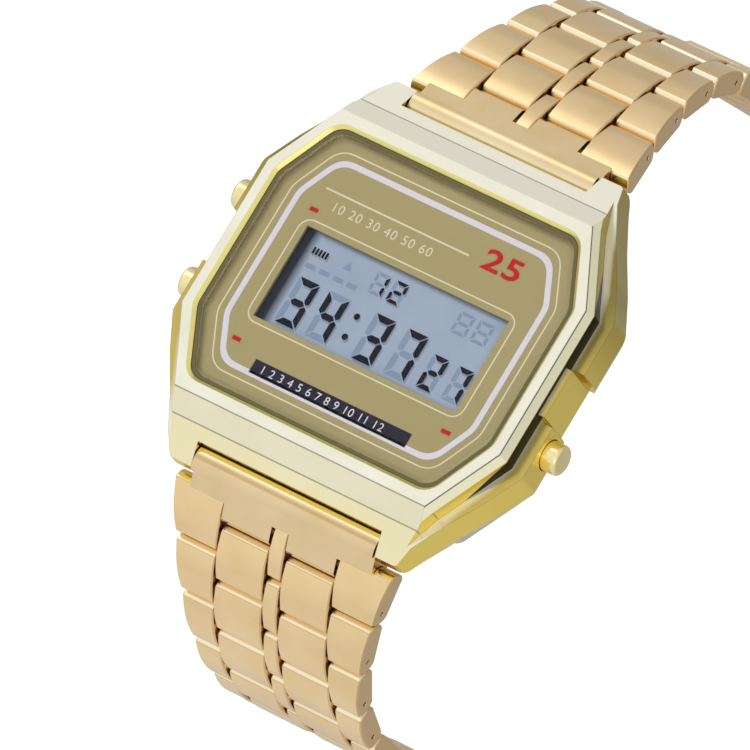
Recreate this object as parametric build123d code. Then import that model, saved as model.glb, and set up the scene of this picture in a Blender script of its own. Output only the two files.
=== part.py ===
from build123d import *
import os
from math import atan, cos, degrees, radians, sin

os.makedirs("parts", exist_ok=True)

# A digital wristwatch with an eight-sided metal case, three side buttons and a five-column link
# bracelet with a folding clasp. It is shown open: both strands curl down from the case and hang side
# by side, and the folded clasp hangs on the 12 strand, its end bar off the 6 strand's last link.
# Millimetres. The origin is the centre of the case back. +Z points out of the dial, +Y to 12 o'clock
# and +X to 3 o'clock. The strand on the +Y side is called 12, the other one 6.

# Case, outside
case_height = 8.6
bezel_half_width = 15.75
bezel_side_half = 6.75
crease_half_width = 12.4
crease_y = 13.15
slope_half_width = 11.75
slope_y = 14.9
slope_drop = 1.6
tip_half_width = 10.85
tip_y = 17.5
tip_drop = 3.2
bezel_edge_height = 1.0
bezel_edge_out = 0.4
ledge_drop = 2.4
shoulder_half_width = 17.4
shoulder_side_half = 7.2
shoulder_flare_x = 15.7
shoulder_flare_y = 10.3
shoulder_waist_x = 13.7
shoulder_waist_y = 13.4
shoulder_lug_x = 12.1
shoulder_lug_y = 16.2
shoulder_tip_x = 11.3
shoulder_tip_y = 17.8
shoulder_corner = 1.2
case_bottom = 1.7
under_taper_height = 1.5
under_taper_angle = 24.0
side_recess_half = 2.45
side_block_half = 2.2
side_block_out = 0.6
side_block_drop = 1.5
side_block_low = 1.0
cut_over = 2.0

# Lugs and spring bars
notch_half = 9.15
notch_y = 16.0
bar_y = 16.9
bar_drop = 4.5
bar_radius = 0.65
bar_tip_radius = 0.4
bar_tip_length = 1.2
bar_tip_clearance = 0.04
barrel_radius = 1.6
barrel_clearance = 0.15
lug_nose_out = 0.7
lug_nose_low = 0.75
lug_nose_under = 1.05
lug_nose_start = 0.2
lug_root_y = 14.0

# Crystal, dial and their seat
opening_half_width = 14.6
opening_side_half = 6.3
opening_end_half = 11.85
opening_end_y = 11.85
opening_corner = 1.7
opening_bevel = 0.3
opening_bevel_angle = 45.0
seat_drop = 1.3
seat_lip = 1.6
crystal_drop = 0.12
crystal_thickness = 0.8
gasket_clearance = 0.04
crystal_gasket_width = 0.3
crystal_gasket_drop = 0.2
dial_clearance = 0.1
dial_thickness = 0.3
dial_gap = 0.04
window_half_width = 10.0
window_top = 3.45
window_bottom = 5.1

# Cavity and what it holds
roof_drop = 2.0
cavity_half_width = 13.5
cavity_side_half = 5.5
cavity_end_half = 9.6
cavity_end_y = 12.3
inner_gap = 0.1
lcd_margin_x = 1.2
lcd_margin_y = 1.5
lcd_thickness = 1.0
lcd_gap = 0.05
light_guide_thickness = 0.5
strip_width = 1.2
strip_length = 19.0
frame_clearance = 0.15
board_thickness = 0.6
board_drop = 4.45
board_inset = 1.1
battery_radius = 8.0
battery_thickness = 1.6
battery_step_radius = 7.2
battery_step_height = 0.3
battery_y = -0.8
battery_clearance = 0.15
clip_width = 5.0
clip_thickness = 0.15
clip_length = 19.0
chip_size = 6.0
chip_height = 0.9
chip_y = 8.4
chip_clearance = 0.2
quartz_radius = 0.7
quartz_length = 5.0
quartz_y = 9.2
quartz_clearance = 0.2
lamp_length = 2.4
lamp_width = 1.2
lamp_height = 0.7
lamp_gap = 0.3

# Back cover
cover_half_width = 15.6
cover_side_half = 7.8
cover_end_half = 12.7
cover_end_y = 13.2
cover_corner = 1.0
cover_edge = 0.5
back_gap = 0.05
seal_offset = 0.4
seal_width = 0.7
seal_depth = 0.5
seal_clearance = 0.05
buzzer_radius = 6.5
buzzer_thickness = 0.22
buzzer_clearance = 0.1
screw_x = 13.3
screw_y = 9.4
screw_radius = 0.45
screw_head_radius = 0.95
screw_head_height = 0.45
screw_clearance = 0.05
screw_bite = 2.2
screw_slot_width = 0.25
screw_slot_depth = 0.2

# Buttons
button_y = 4.2
button_drop = 4.3
button_radius = 1.3
button_out = 1.4
button_length = 1.9
button_bore_clearance = 0.06
button_bore_depth = 2.0
button_round = 0.35
stem_radius = 0.55
stem_clearance = 0.05
groove_radius = 0.38
groove_width = 0.3
groove_from_end = 0.4
groove_from_wall = 0.07
clip_ring_radius = 0.95
clip_ring_gap = 0.03
button_travel = 0.8
spring_gap = 0.08
spring_wire = 0.12
spring_turns = 3

# Bracelet
pitch = 5.2
link_thickness = 2.2
link_end_gap = 0.1
link_round = 0.3
link_crown_radius = 8.0
link_edge = 0.12
centre_half = 0.72
column_gap = 0.13
outer_from = 5.73
strand_half_start = 10.6
strand_half_end = 8.0
taper_rows = 9
rows_per_strand = 15
pin_radius = 0.5
pin_fit = 0.02
pin_clearance = 0.05
pin_short = 0.45
pin_drift_radius = 0.22
end_link_reach = 2.75
end_link_side_gap = 0.1
end_link_angle_12 = 24.0
end_link_angle_6 = 40.0
first_angle_12 = 28.0
first_angle_6 = 42.0
curl_angle_12 = 130.0
curl_angle_6 = 92.0
curl_share_12 = 1.65
curl_share_6 = 1.05
hang_angle_12 = 79.0
hang_angle_6 = 102.0

# Clasp
clasp_length = 40.0
clasp_cover_half = 8.6
clasp_wall = 0.45
clasp_wall_low = 0.6
clasp_wall_start = 2.5
clasp_wall_end = 6.0
clasp_plate = 0.8
clasp_plate_inside = 1.5
clasp_plate_start = 1.3
clasp_plate_past_pivot = 1.0
clasp_corner = 0.25
blade_half = 5.0
blade_thickness = 0.8
middle_blade_low = 0.35
inner_blade_high = 0.1
cover_pivot_from_end = 3.2
cover_pivot_high = 0.75
cover_knuckle_radius = 0.75
ear_gap = 0.2
ear_width = 1.4
blade_pivot_from_start = 4.5
blade_pivot_high = 0.125
blade_knuckle_radius = 0.7
blade_knuckle_half = 2.5
knuckle_gap = 0.1
end_barrel_radius = 0.85

half_turn = 180
quarter_turn = 90
top = case_height
half_pitch = pitch / 2
link_half = link_thickness / 2
end_radius = half_pitch / 2 - link_end_gap / 2
column_half = outer_from - column_gap
bar_z = top - bar_drop
button_z = top - button_drop
ledge_z = top - ledge_drop
seat_z = top - seat_drop
roof_z = top - roof_drop
notch_recess_radius = barrel_radius + barrel_clearance


def all_round(quarter):
    """An outline that is alike on all four sides, from its points between +X and +Y."""
    up_right = list(quarter)
    up_left = [(-x, y) for x, y in reversed(quarter)]
    low_left = [(-x, -y) for x, y in quarter]
    low_right = [(x, -y) for x, y in reversed(quarter)]
    return Polygon(*up_right, *up_left, *low_left, *low_right, align=None)


def inset(sketch, by):
    return offset(sketch, amount=-by, kind=Kind.INTERSECTION)


def slab(sketch, low, high):
    """A flat outline raised from one height to another."""
    return extrude(Pos(0, 0, low) * sketch, amount=high - low, dir=(0, 0, 1))


def side_slab(sketch, low_x, high_x):
    """An outline drawn in the side view, as (y, z), carried from one x to another."""
    return extrude(Plane.YZ.offset(low_x) * sketch, amount=high_x - low_x, dir=(1, 0, 0))


def both_sides(sketch, near_x, far_x):
    return side_slab(sketch, near_x, far_x) + side_slab(sketch, -far_x, -near_x)


def rod(radius, low_x, high_x, y=0, z=0):
    """A round bar along X."""
    return side_slab(Pos(y, z) * Circle(radius), low_x, high_x)


def upright(radius, low, high, x=0, y=0):
    """A round post along Z."""
    return slab(Pos(x, y) * Circle(radius), low, high)


def block(low, high):
    """A box between two corners."""
    size = [b - a for a, b in zip(low, high)]
    middle = [(a + b) / 2 for a, b in zip(low, high)]
    return Pos(*middle) * Box(*size)


def group(*shapes):
    """Separate solids kept in one piece list."""
    return Compound([solid for shape in shapes for solid in shape.solids()])


def bezel_outline():
    return all_round(
        [
            (bezel_half_width, bezel_side_half),
            (crease_half_width, crease_y),
            (slope_half_width, slope_y),
            (tip_half_width, tip_y),
        ]
    )


def shoulder_outline():
    outline = all_round(
        [
            (shoulder_half_width, shoulder_side_half),
            (shoulder_flare_x, shoulder_flare_y),
            (shoulder_waist_x, shoulder_waist_y),
            (shoulder_lug_x, shoulder_lug_y),
            (shoulder_tip_x, shoulder_tip_y),
        ]
    )
    return fillet([v for v in outline.vertices() if abs(v.Y) < slope_y], shoulder_corner)


def opening_outline(by=0):
    """The eight-sided opening for the crystal, drawn in by a distance."""
    outline = all_round([(opening_half_width, opening_side_half), (opening_end_half, opening_end_y)])
    if by:
        outline = inset(outline, by)
    return fillet(outline.vertices(), opening_corner)


def cavity_outline(by=0):
    outline = all_round([(cavity_half_width, cavity_side_half), (cavity_end_half, cavity_end_y)])
    if by:
        outline = inset(outline, by)
    return outline


def cover_outline():
    outline = all_round([(cover_half_width, cover_side_half), (cover_end_half, cover_end_y)])
    return fillet(outline.vertices(), cover_corner)


def window_outline(grow_x=0, grow_y=0):
    width = 2 * (window_half_width + grow_x)
    height = window_top + window_bottom + 2 * grow_y
    return Pos(0, (window_top - window_bottom) / 2) * Rectangle(width, height)


def screw_places():
    return [(sx * screw_x, sy * screw_y) for sx in (-1, 1) for sy in (-1, 1)]


def button_places():
    """Each button's name, side and height along the case."""
    return [("light", -1, button_y), ("mode", -1, -button_y), ("start", 1, -button_y)]


def case_slopes(side):
    """What the two falling faces at one end take off the case."""
    fall = (tip_drop - slope_drop) / (tip_y - slope_y)
    far = tip_y + cut_over
    points = [
        (crease_y, top),
        (slope_y, top - slope_drop),
        (far, top - slope_drop - fall * (far - slope_y)),
        (far, top + cut_over),
        (crease_y, top + cut_over),
    ]
    outline = Polygon(*[(side * y, z) for y, z in points], align=None)
    return side_slab(outline, -shoulder_half_width, shoulder_half_width)


def lug_underside(side):
    """What is cut from under the lugs at one end, round the spring bar's hole."""
    far = tip_y + cut_over
    low = case_bottom - cut_over
    points = [
        (shoulder_tip_y + bezel_edge_out, bar_z + lug_nose_start),
        (bar_y + lug_nose_out, bar_z - lug_nose_low),
        (bar_y, bar_z - lug_nose_under),
        (lug_root_y, case_bottom),
        (lug_root_y, low),
        (far, low),
        (far, bar_z + lug_nose_start),
    ]
    outline = Polygon(*[(side * y, z) for y, z in points], align=None)
    return side_slab(outline, -shoulder_half_width, shoulder_half_width)


def lug_notch(side):
    """The gap between the lugs at one end, with the hollow that the end link's barrel turns in."""
    low = (-notch_half, min(side * notch_y, side * (tip_y + cut_over)), case_bottom - cut_over)
    high = (notch_half, max(side * notch_y, side * (tip_y + cut_over)), top + cut_over)
    hollow = rod(notch_recess_radius, -notch_half, notch_half, side * bar_y, bar_z)
    tips = rod(
        bar_tip_radius + bar_tip_clearance,
        -notch_half - bar_tip_length,
        notch_half + bar_tip_length,
        side * bar_y,
        bar_z,
    )
    return block(low, high) + hollow + tips


def button_bore(side, y):
    """The stepped hole that a button slides in."""
    mouth = side * (shoulder_half_width + cut_over)
    floor = side * (shoulder_half_width - button_bore_depth)
    inner = side * (cavity_half_width - cut_over)
    wide = rod(button_radius + button_bore_clearance, *sorted((mouth, floor)), y, button_z)
    narrow = rod(stem_radius + stem_clearance, *sorted((floor, inner)), y, button_z)
    return wide + narrow


def case_body():
    skirt = offset(bezel_outline(), amount=bezel_edge_out, kind=Kind.INTERSECTION)
    edge_z = top - bezel_edge_height
    edge_angle = degrees(atan(bezel_edge_out / bezel_edge_height))
    body = slab(shoulder_outline(), case_bottom + under_taper_height, ledge_z)
    body += extrude(
        Pos(0, 0, case_bottom + under_taper_height) * shoulder_outline(),
        amount=under_taper_height,
        dir=(0, 0, -1),
        taper=under_taper_angle,
    )
    body += slab(skirt, case_bottom + under_taper_height, edge_z)
    body += extrude(Pos(0, 0, edge_z) * skirt, amount=bezel_edge_height, taper=edge_angle)
    skirt_x = bezel_half_width + bezel_edge_out
    for side in (-1, 1):
        outer = sorted((side * skirt_x, side * (shoulder_half_width + cut_over)))
        recess_low = (outer[0], -side_recess_half, case_bottom - cut_over)
        body -= block(recess_low, (outer[1], side_recess_half, ledge_z + cut_over))
    body += block(
        (cavity_half_width + inner_gap, -side_block_half, case_bottom + side_block_low),
        (skirt_x + side_block_out, side_block_half, top - side_block_drop),
    )
    for side in (-1, 1):
        body -= case_slopes(side)
        body -= lug_underside(side)
        body -= lug_notch(side)
    body -= slab(opening_outline(), seat_z, top + cut_over)
    rim = Pos(0, 0, top - opening_bevel) * opening_outline()
    body -= extrude(rim, amount=cut_over, taper=-opening_bevel_angle)
    body -= slab(inset(opening_outline(), seat_lip), roof_z, seat_z)
    body -= slab(cavity_outline(), case_bottom - cut_over, roof_z)
    for _, side, y in button_places():
        body -= button_bore(side, y)
    body -= back_seal_space(0)
    deep = case_bottom + screw_bite
    for x, y in screw_places():
        body -= upright(screw_radius + screw_clearance, case_bottom - cut_over, deep, x, y)
    return body


def back_seal_space(clearance):
    """The ring that the back gasket fills, thinner by a clearance on every side but its floor."""
    outer = inset(cavity_outline(), -(seal_offset + seal_width - clearance))
    inner = inset(cavity_outline(), -(seal_offset + clearance))
    depth = case_bottom + seal_depth - clearance
    return slab(outer, case_bottom, depth) - slab(inner, case_bottom, depth)


def crystal():
    high = top - crystal_drop
    by = 2 * gasket_clearance + crystal_gasket_width
    glass = slab(opening_outline(by), high - crystal_thickness, high)
    return chamfer(glass.faces().sort_by(Axis.Z)[-1].edges(), crystal_drop)


def crystal_gasket():
    high = top - crystal_drop - crystal_gasket_drop
    low = top - crystal_drop - crystal_thickness
    inner = opening_outline(gasket_clearance + crystal_gasket_width)
    return slab(opening_outline(gasket_clearance), low, high) - slab(inner, low, high)


def dial_top():
    return top - crystal_drop - crystal_thickness - dial_gap


def face_plate():
    plate = slab(opening_outline(dial_clearance), dial_top() - dial_thickness, dial_top())
    return plate - slab(window_outline(), dial_top() - dial_thickness, dial_top())


def lcd_top():
    return dial_top() - dial_thickness - lcd_gap


def lcd_panel():
    """Two sheets of glass, the upper one shorter so that the contact strips reach the lower one."""
    front = window_outline(lcd_margin_x, lcd_margin_y - strip_width / 2)
    rear = window_outline(lcd_margin_x, lcd_margin_y)
    middle = lcd_top() - lcd_thickness / 2
    return slab(front, middle, lcd_top()) + slab(rear, lcd_top() - lcd_thickness, middle)


def guide_top():
    return lcd_top() - lcd_thickness - lcd_gap


def light_guide():
    outline = window_outline(lcd_margin_x, lcd_margin_y - strip_width - inner_gap)
    return slab(outline, guide_top() - light_guide_thickness, guide_top())


def strip_y():
    """The middles of the two contact strips."""
    reach = lcd_margin_y - strip_width / 2
    return window_top + reach, -(window_bottom + reach)


def connector_strips():
    low = board_top() + lcd_gap
    outline = Rectangle(strip_length, strip_width)
    return group(*[slab(Pos(0, y) * outline, low, guide_top()) for y in strip_y()])


def board_top():
    return top - board_drop


def lamp_place():
    """The lamp's middle, beside the light guide's 9 o'clock end."""
    x = -(window_half_width + lcd_margin_x + lamp_gap + lamp_width / 2)
    return x, (window_top - window_bottom) / 2


def led_lamp():
    outline = Pos(*lamp_place()) * Rectangle(lamp_width, lamp_length)
    return slab(outline, guide_top() - lamp_height, guide_top())


def module_frame():
    """The moulded frame under the dial: pockets for the display, its light and the strips above,
    and one for the circuit board below."""
    low = case_bottom + inner_gap
    frame = slab(cavity_outline(frame_clearance), low, roof_z - inner_gap)
    frame -= slab(window_outline(lcd_margin_x + inner_gap, lcd_margin_y + inner_gap), guide_top(), top)
    guide = window_outline(lcd_margin_x + inner_gap, lcd_margin_y - strip_width)
    guide_low = guide_top() - light_guide_thickness - lcd_gap
    frame -= slab(guide, guide_low, top)
    frame -= slab(
        Pos(*lamp_place()) * Rectangle(lamp_width + 2 * inner_gap, lamp_length + 2 * inner_gap),
        guide_top() - lamp_height - lcd_gap,
        top,
    )
    strip_pocket = Rectangle(strip_length + 2 * inner_gap, strip_width + 2 * inner_gap)
    for y in strip_y():
        frame -= slab(Pos(0, y) * strip_pocket, board_top(), top)
    frame -= slab(cavity_outline(board_inset), low, board_top())
    chip = Pos(0, chip_y) * Rectangle(chip_size + 2 * chip_clearance, chip_size / 2 + 2 * chip_clearance)
    frame -= slab(chip, board_top(), board_top() + chip_height + lcd_gap)
    return frame - stem_room()


def stem_room():
    """Room for the button stems inside the cavity."""
    rooms = Part()
    for _, side, y in button_places():
        inner = side * (stem_tip() - button_travel - inner_gap)
        outer = side * (cavity_half_width + cut_over)
        rooms += rod(clip_ring_radius + inner_gap, *sorted((inner, outer)), y, button_z)
    return rooms


def circuit_board():
    board = slab(cavity_outline(board_inset + inner_gap), board_top() - board_thickness, board_top())
    return board - stem_room()


def clock_chip():
    outline = Pos(0, chip_y) * Rectangle(chip_size, chip_size / 2)
    return slab(outline, board_top(), board_top() + chip_height)


def rear_holder():
    """The moulded ring behind the board that holds the battery."""
    low = case_bottom + inner_gap
    high = board_top() - board_thickness - lcd_gap
    ring = slab(cavity_outline(board_inset + inner_gap), low, high)
    ring -= upright(battery_radius + battery_clearance, low, high, 0, battery_y)
    ring -= quartz_bar(quartz_radius + quartz_clearance, quartz_length / 2 + quartz_clearance)
    ring -= slab(Pos(0, battery_y) * Rectangle(clip_width + 2 * inner_gap, clip_length), low, battery_low())
    return ring - stem_room()


def battery_low():
    return board_top() - board_thickness - lcd_gap - battery_thickness


def battery():
    low = battery_low()
    step = low + battery_thickness - battery_step_height
    can = upright(battery_radius, low, step, 0, battery_y)
    return can + upright(battery_step_radius, step, low + battery_thickness, 0, battery_y)


def battery_clip():
    outline = Pos(0, battery_y) * Rectangle(clip_width, clip_length)
    high = battery_low() - inner_gap / 2
    return slab(outline, high - clip_thickness, high) & slab(cavity_outline(board_inset), 0, top)


def quartz_bar(radius, half_length):
    z = board_top() - board_thickness - lcd_gap - quartz_radius
    return rod(radius, -half_length, half_length, quartz_y, z)


def quartz_crystal():
    return quartz_bar(quartz_radius, quartz_length / 2)


def back_cover():
    high = case_bottom - back_gap
    cover = slab(cover_outline(), 0, high)
    cover = chamfer(cover.faces().sort_by(Axis.Z)[0].edges(), cover_edge)
    cover -= upright(buzzer_radius + buzzer_clearance, high - buzzer_thickness - buzzer_clearance, high)
    for x, y in screw_places():
        cover -= upright(screw_radius + screw_clearance, 0, high, x, y)
        cover -= upright(screw_head_radius + screw_clearance, 0, screw_head_height + screw_clearance, x, y)
    return cover


def buzzer_disc():
    low = case_bottom - back_gap - buzzer_thickness - buzzer_clearance + lcd_gap
    return upright(buzzer_radius, low, low + buzzer_thickness)


def back_screws():
    screws = []
    tip = case_bottom + screw_bite - inner_gap
    for x, y in screw_places():
        head = upright(screw_head_radius, 0, screw_head_height, x, y)
        slot = Pos(x, y) * Rectangle(2 * screw_head_radius + inner_gap, screw_slot_width)
        head -= slab(slot, 0, screw_slot_depth)
        screws.append(head + upright(screw_radius, screw_head_height, tip, x, y))
    return group(*screws)


def lug_bars():
    """The two spring bars that hold the end links."""
    bars = []
    for side in (-1, 1):
        reach = notch_half - end_link_side_gap
        bar = rod(bar_radius, -reach, reach, side * bar_y, bar_z)
        tip = reach + bar_tip_length
        bars.append(bar + rod(bar_tip_radius, -tip, tip, side * bar_y, bar_z))
    return group(*bars)


def cap_face():
    return shoulder_half_width + button_out


def stem_tip():
    """How far from the middle a button's stem ends, inside the case."""
    return stem_groove()[0] - groove_from_end


def stem_groove():
    """Where the groove for the clip starts and ends: just inside the case wall."""
    end = cavity_half_width - groove_from_wall
    return end - groove_width, end


def button(side, y):
    """A domed cap with its stem, and the clip that keeps it in the case."""
    face = cap_face()
    inner = face - button_length
    cap = rod(button_radius, *sorted((side * inner, side * face)), y, button_z)
    rim = cap.edges().sort_by(Axis.X)
    cap = fillet([rim[-1] if side > 0 else rim[0]], button_round)
    stem = rod(stem_radius, *sorted((side * inner, side * stem_tip())), y, button_z)
    groove = sorted(side * x for x in stem_groove())
    stem -= rod(stem_radius, *groove, y, button_z) - rod(groove_radius, *groove, y, button_z)
    ring_x = [groove[0] + clip_ring_gap, groove[1] - clip_ring_gap]
    ring = rod(clip_ring_radius, *ring_x, y, button_z)
    ring -= rod(groove_radius + clip_ring_gap, *ring_x, y, button_z)
    return group(cap + stem, ring)


def button_springs():
    """One coil in each button's bore, drawn as short as a pressed button leaves it."""
    springs = []
    mean = (button_radius + stem_radius + stem_clearance) / 2
    bore_floor = shoulder_half_width - button_bore_depth
    pressed = cap_face() - button_length - button_travel
    climb = pressed - bore_floor - 2 * spring_gap - 2 * spring_wire
    for _, side, y in button_places():
        path = Helix(pitch=climb / spring_turns, height=climb, radius=mean)
        start = Plane(origin=path @ 0, z_dir=path % 0)
        coil = sweep(start * Circle(spring_wire), path=path)
        start_x = side * (bore_floor + spring_gap + spring_wire)
        springs.append(Pos(start_x, y, button_z) * Rot(0, side * quarter_turn, 0) * coil)
    return group(*springs)


def strand(end_angle, first, turn, share, hang):
    """A strand's pins, as (y, z), from the end link's rear pin on, and its rows' angles below the
    horizontal: the rows curl down from the first angle until they hang."""
    y = bar_y + end_link_reach * cos(radians(end_angle))
    z = bar_z - end_link_reach * sin(radians(end_angle))
    pins, angles = [(y, z)], []
    for row in range(rows_per_strand):
        angle = min(hang, first + turn * (row / (rows_per_strand - 1)) ** share)
        y += half_pitch * cos(radians(angle))
        z -= half_pitch * sin(radians(angle))
        pins.append((y, z))
        angles.append(angle)
    return pins, angles


STRAND_12 = strand(end_link_angle_12, first_angle_12, curl_angle_12, curl_share_12, hang_angle_12)
STRAND_6 = strand(end_link_angle_6, first_angle_6, curl_angle_6, curl_share_6, hang_angle_6)


def placed(side, pin, angle):
    """The place of a piece drawn with its first pin at the origin, +Y along the strand and +Z out."""
    turn = Rot(0, 0, half_turn if side < 0 else 0)
    return Pos(0, side * pin[0], pin[1]) * turn * Rot(-angle, 0, 0)


def strand_half(place):
    """Half the strand's width, this many rows from its first pin."""
    left = max(0, 1 - place / taper_rows)
    return strand_half_end + (strand_half_start - strand_half_end) * left**2


def link_profile():
    """A link seen from the side: crowned top, flat bottom, and ends round about its pins."""
    long = Pos(half_pitch / 2, 0) * Rectangle(half_pitch, 2 * end_radius)
    outline = long + Circle(end_radius) + Pos(half_pitch, 0) * Circle(end_radius)
    outline &= Pos(half_pitch / 2, 0) * Rectangle(half_pitch + 2 * end_radius, link_thickness)
    outline &= Pos(half_pitch / 2, link_half - link_crown_radius) * Circle(link_crown_radius)
    return fillet(outline.vertices(), link_round)


def softened(piece, x_low, x_high):
    """A link with the edges of its two side faces broken."""
    faces = piece.faces().sort_by(Axis.X)
    edges = faces[0].edges() + faces[-1].edges()
    return chamfer(edges, min(link_edge, (x_high - x_low) / 4))


def plain_link(x_low, x_high, hole):
    piece = softened(side_slab(link_profile(), x_low, x_high), x_low, x_high)
    for y in (0, half_pitch):
        piece -= rod(hole, x_low, x_high, y)
    return piece


def outer_link(row, side, hole):
    """An edge link, which follows the strand's taper. Its holes are blind, and a small hole through its
    outer face lets a tool push out the far pin."""
    wide = strand_half(row)
    narrow = strand_half(row + 1)
    fall = (wide - narrow) / half_pitch
    start, end = -end_radius, half_pitch + end_radius
    plan = Polygon(
        (side * outer_from, start),
        (side * (wide - fall * start), start),
        (side * (wide - fall * end), end),
        (side * outer_from, end),
        align=None,
    )
    piece = side_slab(link_profile(), *sorted((side * outer_from, side * (wide + cut_over))))
    piece &= slab(plan, -link_thickness, link_thickness)
    piece = softened(piece, outer_from, narrow)
    for half, y in ((wide, 0), (narrow, half_pitch)):
        piece -= rod(hole, *sorted((0, side * (half - pin_short + pin_fit))), y)
    return piece - rod(pin_drift_radius, *sorted((0, side * (wide + cut_over))), half_pitch)


def wide_row(row, centre=True, last_pin=True):
    """A row of two edge links and a narrow middle link, with the pins that hold its neighbours."""
    hole = pin_radius + pin_fit
    pieces = [outer_link(row, side, hole) for side in (-1, 1)]
    if centre:
        pieces.append(plain_link(-centre_half, centre_half, hole))
    for end in (0, 1) if last_pin else (0,):
        reach = strand_half(row + end) - pin_short
        pieces.append(rod(pin_radius, -reach, reach, end * half_pitch))
    return group(*pieces)


def narrow_row():
    """A row of two inner links, which turn on their neighbours' pins."""
    inner = centre_half + column_gap
    hole = pin_radius + pin_clearance
    return group(plain_link(inner, column_half, hole), plain_link(-column_half, -inner, hole))


def end_link():
    """The solid first link: a barrel on the spring bar, and two tabs on the first row's pin."""
    reach = end_link_reach
    half = notch_half - end_link_side_gap
    tail = Pos(reach, 0) * Circle(end_radius)
    near, far = [(0, barrel_radius), (0, -barrel_radius)], [(reach, -link_half), (reach, link_half)]
    web = Polygon(*near, *far, align=None)
    outline = Circle(barrel_radius) + web + tail
    outline -= Pos(reach, link_half + end_radius) * Rectangle(4 * end_radius, 2 * end_radius)
    outline -= Pos(reach, -link_half - end_radius) * Rectangle(4 * end_radius, 2 * end_radius)
    front = side_slab(outline, -half, half)
    front -= rod(end_radius + link_end_gap, -half, half, reach)
    front -= block((-half, reach, -barrel_radius), (half, reach + pitch, barrel_radius))
    tabs = both_sides(outline, centre_half + column_gap, column_half)
    link = front + tabs
    link -= rod(bar_radius + pin_clearance, -half, half)
    return link - rod(pin_radius + pin_clearance, -half, half, reach)


def clasp_cover():
    """The outer plate of the clasp, with tabs on the 12 strand's last pin and two ears for the fold."""
    pivot_y = clasp_length - cover_pivot_from_end
    high = clasp_plate_inside + clasp_plate
    far = pivot_y + clasp_plate_past_pivot
    plate = block((-clasp_cover_half, clasp_plate_start, clasp_plate_inside), (clasp_cover_half, far, high))
    plate = chamfer(plate.faces().sort_by(Axis.Z)[-1].edges(), clasp_corner)
    for side in (-1, 1):
        wall = sorted((side * (clasp_cover_half - clasp_wall), side * clasp_cover_half))
        plate += block(
            (wall[0], clasp_wall_start, -clasp_wall_low),
            (wall[1], clasp_length - clasp_wall_end, clasp_plate_inside + clasp_corner),
        )
    tab = Circle(end_radius) & Rectangle(2 * end_radius, link_thickness)
    tab += Polygon(
        (0, 0),
        (clasp_plate_start, 0),
        (clasp_plate_start + clasp_plate, clasp_plate_inside),
        (clasp_plate_start + clasp_plate, high - clasp_corner),
        (clasp_plate_start + clasp_corner, high - clasp_corner),
        (clasp_plate_start, clasp_plate_inside),
        (0, link_half),
        align=None,
    )
    plate += both_sides(tab, centre_half + column_gap, column_half)
    ear = Pos(pivot_y, cover_pivot_high) * Circle(cover_knuckle_radius)
    ear_high = clasp_plate_inside + clasp_corner - cover_pivot_high
    ear += Pos(pivot_y, cover_pivot_high + ear_high / 2) * Rectangle(2 * cover_knuckle_radius, ear_high)
    ear_from = blade_half + ear_gap
    plate += both_sides(ear, ear_from, ear_from + ear_width)
    plate -= rod(pin_radius + pin_clearance, -column_half, column_half)
    ear_to = ear_from + ear_width
    plate -= rod(pin_radius + pin_fit, -ear_to, ear_to, pivot_y, cover_pivot_high)
    pin_reach = ear_to - inner_gap
    return group(plate, rod(pin_radius, -pin_reach, pin_reach, pivot_y, cover_pivot_high))


def middle_blade():
    """The folding blade under the cover."""
    pivot_y = clasp_length - cover_pivot_from_end
    start_y = blade_pivot_from_start
    high = middle_blade_low + blade_thickness
    blade = block((-blade_half, start_y, middle_blade_low), (blade_half, pivot_y, high))
    blade += rod(cover_knuckle_radius, -blade_half, blade_half, pivot_y, cover_pivot_high)
    knuckle = Pos(start_y, blade_pivot_high) * Circle(blade_knuckle_radius)
    knuckle_from = blade_knuckle_half + knuckle_gap
    blade -= block(
        (-knuckle_from, start_y, middle_blade_low),
        (knuckle_from, start_y + blade_knuckle_radius + knuckle_gap, high),
    )
    blade += both_sides(knuckle, knuckle_from, blade_half)
    blade -= rod(pin_radius + pin_clearance, -blade_half, blade_half, pivot_y, cover_pivot_high)
    blade -= rod(pin_radius / 2 + pin_fit, -blade_half, blade_half, start_y, blade_pivot_high)
    pin_reach = blade_half - inner_gap
    return group(blade, rod(pin_radius / 2, -pin_reach, pin_reach, start_y, blade_pivot_high))


def inner_blade():
    """The blade against the wrist, with the barrel and the spring bar that holds the 6 strand."""
    start_y = blade_pivot_from_start
    high = -inner_blade_high
    low = high - blade_thickness
    clear_y = start_y + blade_knuckle_radius + knuckle_gap
    blade = block((-blade_half, clear_y, low), (blade_half, clasp_length, high))
    blade += block((-blade_knuckle_half, start_y, low), (blade_knuckle_half, clear_y, high))
    blade += rod(blade_knuckle_radius, -blade_knuckle_half, blade_knuckle_half, start_y, blade_pivot_high)
    blade += rod(end_barrel_radius, -blade_half, blade_half, clasp_length)
    blade -= rod(pin_radius / 2 + pin_clearance, -blade_half, blade_half, start_y, blade_pivot_high)
    blade -= rod(pin_radius + pin_fit, -blade_half, blade_half, clasp_length)
    bar = rod(pin_radius, -blade_half, blade_half, clasp_length)
    tip = blade_half + bar_tip_length
    return group(blade, bar + rod(bar_tip_radius, -tip, tip, clasp_length))


def save(name, shape):
    solids = shape.solids()
    whole = solids[0] if len(solids) == 1 else Compound(list(solids))
    export_step(whole, f"parts/{name}.step")
    print(name, len(solids))


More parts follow.
